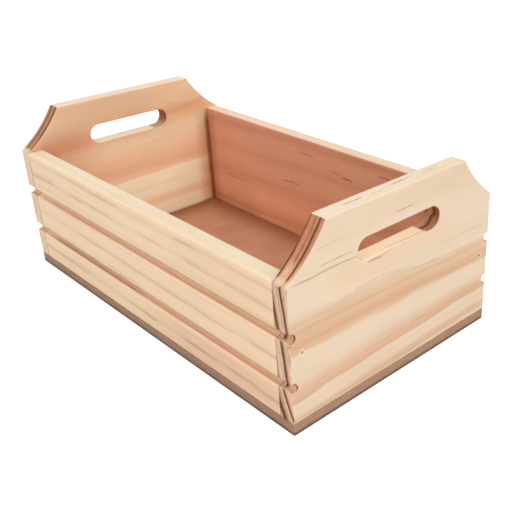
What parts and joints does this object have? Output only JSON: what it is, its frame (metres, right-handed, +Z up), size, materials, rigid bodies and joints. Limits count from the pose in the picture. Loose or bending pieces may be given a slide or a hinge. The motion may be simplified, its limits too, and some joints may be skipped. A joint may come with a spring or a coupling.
{
  "type": "wooden apple crate",
  "caption": "Small open pine crate with sloped-shoulder end boards, oval hand slots, grooved long sides that imitate slats, and a nailed fibreboard base.",
  "frame": {"origin": "centre of the base's underside", "axes": "+Z up, +X along the crate's length towards one end board, +Y across its width"},
  "size_m": [0.32, 0.18, 0.1285],
  "materials": {
    "end_board_pine": "bare planed pine, satin",
    "side_board_pine": "bare planed pine, satin",
    "base_fibreboard": "bare brown fibreboard, matt",
    "brad_steel": "bright drawn steel"
  },
  "bodies": {
    "root": {"base_panel": "base_fibreboard", "end_panel_right": "end_board_pine", "end_panel_left": "end_board_pine", "side_panel_front": "side_board_pine", "side_panel_back": "side_board_pine", "corner_brad_right_front": "brad_steel", "corner_brad_right_back": "brad_steel", "corner_brad_left_front": "brad_steel", "corner_brad_left_back": "brad_steel", "base_brad_front_1": "brad_steel", "base_brad_front_2": "brad_steel", "base_brad_front_3": "brad_steel", "base_brad_front_4": "brad_steel", "base_brad_back_1": "brad_steel", "base_brad_back_2": "brad_steel", "base_brad_back_3": "brad_steel", "base_brad_back_4": "brad_steel", "base_brad_right_1": "brad_steel", "base_brad_right_2": "brad_steel", "base_brad_left_1": "brad_steel", "base_brad_left_2": "brad_steel"}
  },
  "joints": []
}
